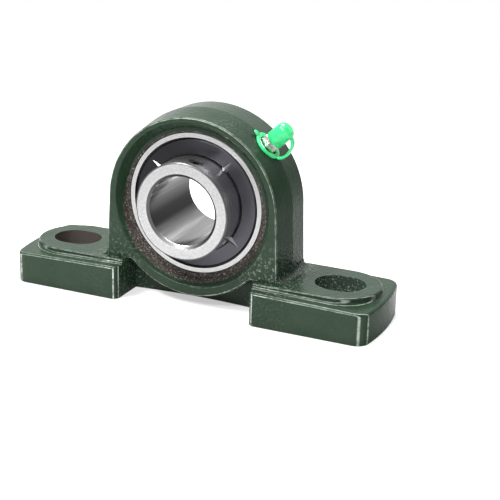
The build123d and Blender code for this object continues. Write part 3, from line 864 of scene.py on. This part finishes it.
class BEARING_OT_make_cap(bpy.types.Operator):
    """Makes the plastic cap, its eyelet and its strap"""
    bl_idname = "bearing.make_cap"
    bl_label = "Make cap"

    def execute(self, context):
        cap = context.scene.bearing_cap
        plastic = plastic_material(cap)
        self.make_shell(cap, plastic)
        self.make_eyelet(cap, plastic)
        self.make_strap(cap, plastic)
        return {"FINISHED"}

    def make_shell(self, cap, plastic):
        """The cap: a turned cup, closed and rounded at its outer end."""
        top = head_level + cap.overhang
        base = top - cap.length
        outer = arc((cap.radius - cap.lip, base + cap.lip), cap.lip, -90, 0, 4)
        outer += arc((cap.radius - cap.crown, top - cap.crown), cap.crown, 0, 90, 10)
        bore = cap.radius - cap.wall
        hollow = [(0.0, top - cap.roof), (bore, top - cap.roof), (bore, base + cap.lip)]
        shape = spin_profile([*hollow, *outer, (0.0, top)])
        piece = finish_piece(shape, "cap_shell", plastic)
        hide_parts("nipple_cap")
        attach(piece, "cap")

    def make_eyelet(self, cap, plastic):
        """The flat band round the hex, with a finger that points up the dome to pull it by."""
        thin_share, halfway_lift = 0.85, 0.4
        level = head_level - cap.ring_depth
        wide = cap.ring_width/2 - cap.ring_corner
        deep = cap.ring_thickness/2 - cap.ring_corner
        section = []
        for quarter, (side, rise) in enumerate(((1, 1), (-1, 1), (-1, -1), (1, -1))):
            section += arc((cap.ring_radius + side*wide, level + rise*deep), cap.ring_corner,
                           90*quarter, 90*quarter + 90, 4)
        ring = spin_profile([*section, section[0]])
        tip = cap.tab_reach - cap.tab_width/2
        thin = thin_share*cap.ring_thickness
        halfway = 0.5*(cap.ring_radius + tip)
        finger = swept(flat_section(cap.tab_width, thin), [
            (-cap.ring_radius, level),
            (-halfway, level + halfway_lift*cap.tab_lift),
            (-tip, level + cap.tab_lift)])
        end = bmesh.new()
        bmesh.ops.create_uvsphere(end, u_segments=24, v_segments=12, radius=cap.tab_width/2)
        bmesh.ops.scale(end, vec=(1.0, 1.0, thin/cap.tab_width), verts=end.verts)
        bmesh.ops.translate(end, vec=(-tip, 0.0, level + cap.tab_lift), verts=end.verts)
        finger = joined(finger, end)
        bmesh.ops.rotate(finger, cent=(0, 0, 0), matrix=Matrix.Rotation(cap.tab_turn, 3, "Z"),
                         verts=finger.verts)
        piece = finish_piece(joined(ring, finger), "cap_eyelet", plastic)
        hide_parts("cap_ring")
        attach(piece, "housing")

    def make_strap(self, cap, plastic):
        """The strap, in the plane down the dome, from the eyelet's band to the cap's closed end."""
        level = head_level - cap.ring_depth
        route = [(cap.ring_radius + across*mm, level + rise*mm) for across, rise in strap_route]
        shape = swept(flat_section(cap.strap_width, cap.strap_thickness), smooth_path(route))
        piece = finish_piece(shape, "cap_strap_bent", plastic)
        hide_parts("cap_strap")
        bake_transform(piece)


class BEARING_OT_make_stage(bpy.types.Operator):
    """Makes the floor, the soft lights, the background and the camera"""
    bl_idname = "bearing.make_stage"
    bl_label = "Make stage"

    def execute(self, context):
        stage = context.scene.bearing_stage
        self.make_camera(context, stage)
        self.make_floor(stage)
        self.make_world(context, stage)
        for name, place, side, power in lights:
            self.make_light(name, Vector(place), side, power)
        context.scene.view_settings.view_transform = "Standard"
        return {"FINISHED"}

    def make_camera(self, context, stage):
        """The camera, turned by its yaw, then tilted by its pitch, then rolled about its view."""
        data = bpy.data.cameras.new("camera")
        data.sensor_width = 36.0
        data.lens = stage.lens
        camera = put_in_scene("camera", data)
        ahead = Vector((-sin(stage.yaw), cos(stage.yaw), 0.0))
        forward = ahead*cos(stage.pitch) - Vector((0.0, 0.0, sin(stage.pitch)))
        right = Vector((cos(stage.yaw), sin(stage.yaw), 0.0))
        up = right.cross(forward)
        turned_right = right*cos(stage.roll) + up*sin(stage.roll)
        turned_up = up*cos(stage.roll) - right*sin(stage.roll)
        axes = Matrix((turned_right, turned_up, -forward)).transposed().to_4x4()
        camera.matrix_world = Matrix.Translation(Vector(stage.eye)) @ axes
        context.scene.camera = camera

    def make_floor(self, stage):
        """A pale floor that keeps the part's shadow and turns plain white further out."""
        material, tree, shader = new_material("Floor")
        dust = noise(tree, object_place(tree), scale=40.0, detail=3.0)
        paler = [min(1.0, 1.03*channel) for channel in stage.floor]
        set_sockets(tree, shader, Roughness=0.9,
                    Base_Color=blend_colours(tree, dust, stage.floor, paler))
        from_middle = add(tree, "ShaderNodeVectorMath", operation="LENGTH")
        feed(tree, from_middle.inputs[0], object_place(tree))
        fade = span(tree, from_middle.outputs["Value"], stage.floor_near, stage.floor_far,
                    stage.floor_white, 1.0)
        white = add(tree, "ShaderNodeEmission")
        mix = add(tree, "ShaderNodeMixShader")
        whiteness = product(tree, self.seen_directly(tree), fade)
        for socket, value in zip(mix.inputs, (whiteness, shader.outputs[0], white.outputs[0])):
            feed(tree, socket, value)
        feed(tree, tree.nodes["Material Output"].inputs["Surface"], mix.outputs[0])
        shape = bmesh.new()
        bmesh.ops.create_grid(shape, x_segments=2, y_segments=2, size=stage.floor_size/2)
        mesh = as_mesh(shape, "floor")
        mesh.materials.append(material)
        floor = put_in_scene("floor", mesh)

    def seen_directly(self, tree):
        """1 for camera, glossy and transmission rays."""
        path = add(tree, "ShaderNodeLightPath").outputs
        glossy = calc(tree, "MAXIMUM", path["Is Glossy Ray"], path["Is Transmission Ray"])
        return calc(tree, "MAXIMUM", path["Is Camera Ray"], glossy)

    def make_world(self, context, stage):
        """White surroundings, dim where they only light the part."""
        world = bpy.data.worlds.new("studio")
        world.use_nodes = True
        tree = world.node_tree
        background = tree.nodes["Background"]
        background.inputs["Color"].default_value = (1.0, 1.0, 1.0, 1.0)
        seen = self.seen_directly(tree)
        strength = calc(tree, "MULTIPLY_ADD", seen, 1.0 - stage.fill, stage.fill)
        feed(tree, background.inputs["Strength"], strength)
        context.scene.world = world

    def make_light(self, name, place, side, power):
        """A square light that points at the middle of the bearing."""
        data = bpy.data.lights.new(name, "AREA")
        data.size = side
        data.energy = power
        aim = (place - centre).to_track_quat("Z", "Y").to_matrix().to_4x4()
        put_in_scene(name, data).matrix_world = Matrix.Translation(place) @ aim


class BEARING_PT_panel(bpy.types.Panel):
    bl_label = "Pillow block bearing"
    bl_idname = "BEARING_PT_panel"
    bl_space_type = "VIEW_3D"
    bl_region_type = "UI"
    bl_category = "Bearing"

    def draw(self, context):
        layout = self.layout
        for operator in operators:
            layout.operator(operator.bl_idname)
        for group in ("bearing_paint", "bearing_steel", "bearing_cap", "bearing_stage"):
            settings = getattr(context.scene, group)
            box = layout.box()
            for name in settings.bl_rna.properties.keys():
                if name not in ("rna_type", "name"):
                    box.prop(settings, name)


operators = (BEARING_OT_paint_housing, BEARING_OT_finish_rings, BEARING_OT_finish_sheets,
             BEARING_OT_finish_fasteners, BEARING_OT_make_cap, BEARING_OT_make_stage)
settings_groups = {"bearing_paint": PaintSettings, "bearing_steel": SteelSettings,
                   "bearing_cap": CapSettings, "bearing_stage": StageSettings}


def register():
    for kind in (*settings_groups.values(), *operators, BEARING_PT_panel):
        bpy.utils.register_class(kind)
    for name, kind in settings_groups.items():
        setattr(bpy.types.Scene, name, PointerProperty(type=kind))


def unregister():
    for name in settings_groups:
        delattr(bpy.types.Scene, name)
    for kind in (BEARING_PT_panel, *operators, *settings_groups.values()):
        bpy.utils.unregister_class(kind)


def main():
    register()
    build_polar_group()
    build_lines_group()
    build_pebble_group()
    build_speckle_group()
    build_edge_group()
    build_slot_group()
    bpy.ops.bearing.make_stage()
    bpy.ops.bearing.paint_housing()
    bpy.ops.bearing.finish_rings()
    bpy.ops.bearing.finish_sheets()
    bpy.ops.bearing.finish_fasteners()
    bpy.ops.bearing.make_cap()


if __name__ == "__main__":
    main()
